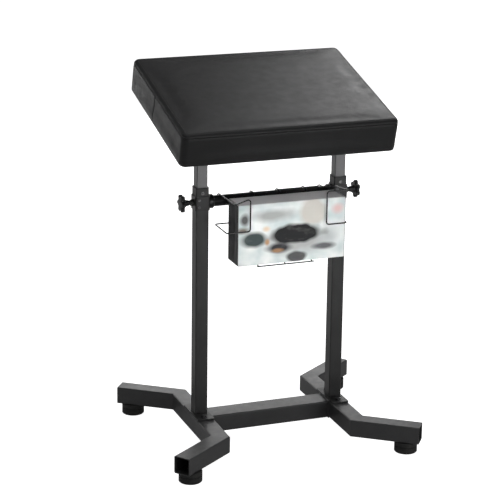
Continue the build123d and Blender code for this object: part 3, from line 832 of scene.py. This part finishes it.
# ------------------------------------------------------------------ welds and carton
def weld_loop(x, low, high):
    """Ripple of weld round the crossbar's end."""
    corners = [(low.y, low.z), (high.y, low.z), (high.y, high.z), (low.y, high.z)]
    path, radii = [], []
    for i, (y, z) in enumerate(corners):
        to_y, to_z = corners[(i + 1) % 4]
        count = round(math.dist((y, z), (to_y, to_z)) / WELD_STEP)
        for k in range(count):
            share = k / count
            path.append((x, y + (to_y - y) * share, z + (to_z - z) * share))
            radii.append(WELD_RADIUS * (1 + WELD_RIPPLE * math.sin(2.1 * len(path))))
    return swept_tube(path, radii, 8, closed=True)


def build_welds():
    """Weld beads at both ends of the crossbar."""
    low, high = (Vector(c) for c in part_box("crossbar"))
    points, faces = joined([weld_loop(low.x, low, high), weld_loop(high.x, low, high)])
    return mesh_object("crossbar_welds", points, faces, finishes["base_paint"])


def carton_ring(low, high, inset, z, pinch):
    """Plan outline of the carton at a height; its left side bows in, most at a fold near its middle."""
    mid, half = (low.y + high.y) / 2, (high.y - low.y) / 2 - inset
    left, right = low.x + inset, high.x - inset
    ys = np.linspace(mid - half, mid + half, 17)
    xs = np.linspace(left, right, 33)
    ring = [(x, mid - half, z) for x in xs[:-1]] + [(right, y, z) for y in ys[:-1]]
    ring += [(x, mid + half, z) for x in xs[:0:-1]]
    for y in ys[:0:-1]:
        across = (y - mid) / half
        bow = 0.7 * (1 - across * across)
        fold = 0.5 * max(0, 1 - abs(across + 0.15) / 0.35)
        ring.append((left + pinch * (bow + fold), y, z))
    return ring


# (inset from the edge, depth below the top) in millimetres, over the rim and the tucked lid
CARTON_RIM = [
    (0.0, 0.6), (0.6, 0.0), (1.4, 0.0), (1.9, 0.9), (2.5, 0.9), (3.0, 0.2), (12.0, 0.1), (30.0, 0.3),
]


def build_carton():
    """Printed box: crisp folded edges, a pinched left side and a tucked lid."""
    low, high = (Vector(c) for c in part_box("carton"))
    rows = []
    for share in (0.98, 0.5, 0.02):
        rows.append(carton_ring(low, high, share * CARTON_FLAP, low.z, 0))
    rows.append(carton_ring(low, high, 0.0, low.z + 0.6 * MM, 0))
    for level in range(1, CARTON_LEVELS):
        share = level / CARTON_LEVELS
        z = low.z + (high.z - low.z) * share
        rows.append(carton_ring(low, high, 0.0, z, CARTON_PINCH * math.sin(math.pi * share) ** 0.7))
    for inset, depth in CARTON_RIM:
        rows.append(carton_ring(low, high, inset * MM, high.z - depth * MM, 0))
    count = len(rows[0])
    points = [p for row in rows for p in row]
    faces = grid_faces(len(rows), count)
    faces.append(tuple(range(count))[::-1])
    faces.append(tuple(range((len(rows) - 1) * count, len(rows) * count)))
    return mesh_object("printed_carton", points, faces, finishes["printed_card"], smooth=False)


welds = build_welds()
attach(welds, "frame")
carton = build_carton()
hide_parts("carton")
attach(carton, "carton")


# ------------------------------------------------------------------ studio and camera
def soft_light(name, spot, aim, size, power, spread=180):
    """Rectangular soft box at a spot, turned to its aim; the spread is in degrees."""
    data = bpy.data.lights.new(name, "AREA")
    data.shape = "RECTANGLE"
    data.size, data.size_y = size
    data.energy = power
    data.spread = math.radians(spread)
    lamp = bpy.data.objects.new(name, data)
    lamp.location = spot
    lamp.rotation_euler = (Vector(aim) - Vector(spot)).to_track_quat("-Z", "Y").to_euler()
    bpy.context.scene.collection.objects.link(lamp)


def floor_material():
    """Matt white floor with a glow for the camera alone, which keeps it white like the photo's ground."""
    paint = surface("studio_floor", (0.8, 0.8, 0.8), 0.9, Specular_IOR_Level=0.1)
    feed(paint, "Base Color", mix(paint, noise(paint, 1.5, 2), (0.78, 0.78, 0.78), (0.82, 0.82, 0.82)))
    paint.node_tree.nodes["Principled BSDF"].inputs["Emission Color"].default_value = (1, 1, 1, 1)
    seen = add(paint, "ShaderNodeLightPath").outputs["Is Camera Ray"]
    feed(paint, "Emission Strength", math_node(paint, "MULTIPLY", seen, FLOOR_GLOW))
    return paint


def build_floor():
    corners = [(a * FLOOR_REACH, b * FLOOR_REACH, 0) for a, b in ((-1, -1), (1, -1), (1, 1), (-1, 1))]
    floor = mesh_object("studio_floor", corners, [(0, 1, 2, 3)], floor_material(), smooth=False)


def build_surround():
    """White surround for the camera, whose light is weaker overhead than at the horizon."""
    world = bpy.data.worlds.new("studio")
    bpy.context.scene.world = world
    world.use_nodes = True
    back = world.node_tree.nodes["Background"]
    spot = add(world, "ShaderNodeTexCoord").outputs["Generated"]
    height = add(world, "ShaderNodeSeparateXYZ", {0: spot}).outputs["Z"]
    glow = remap(world, height, 0.05, 0.5, 0.4, 0.14)
    seen = add(world, "ShaderNodeLightPath").outputs["Is Camera Ray"]
    strength = add(world, "ShaderNodeMix", {0: seen, 2: glow, 3: 1.0}, data_type="FLOAT").outputs[0]
    world.node_tree.links.new(strength, back.inputs["Strength"])
    back.inputs["Color"].default_value = (1, 1, 1, 1)


def build_lights():
    """Soft boxes; the narrow beam of carton_box is aimed at the printed front."""
    soft_light("key_box", (1.22, 1.22, 2.0), (0.15, 0.05, 0.75), (0.85, 0.85), 12)
    soft_light("top_box", (-0.3, -0.4, 3.4), (0, 0, 0), (3.0, 3.0), 36)
    soft_light("back_box", (0.25, 3.2, 0.8), (0, 0, 0.2), (3.4, 1.0), 33)
    soft_light("carton_box", (-0.5, -2.7, 0.75), (0.02, -0.09, 0.5), (0.25, 0.15), 0.2, 12)
    soft_light("right_box", (0.9, -2.5, 0.5), (0.165, 0, 0.62), (0.7, 0.9), 12)


def build_camera():
    """Camera at the photo's viewing angle."""
    data = bpy.data.cameras.new("camera")
    data.lens = LENS
    data.sensor_width = 36
    data.shift_y = LENS_SHIFT
    camera = bpy.data.objects.new("camera", data)
    yaw, pitch = math.radians(CAMERA_YAW), math.radians(CAMERA_PITCH)
    back = Vector((math.sin(yaw) * math.cos(pitch), -math.cos(yaw) * math.cos(pitch), math.sin(pitch)))
    level = (-back).to_track_quat("-Z", "Y").to_matrix()
    turned = level @ Matrix.Rotation(math.radians(CAMERA_ROLL), 3, "Z")
    camera.matrix_world = Matrix.Translation(CAMERA_PLACE) @ turned.to_4x4()
    bpy.context.scene.collection.objects.link(camera)
    bpy.context.scene.camera = camera
    bpy.context.scene.view_settings.view_transform = "Standard"


build_floor()
build_surround()
build_lights()
build_camera()
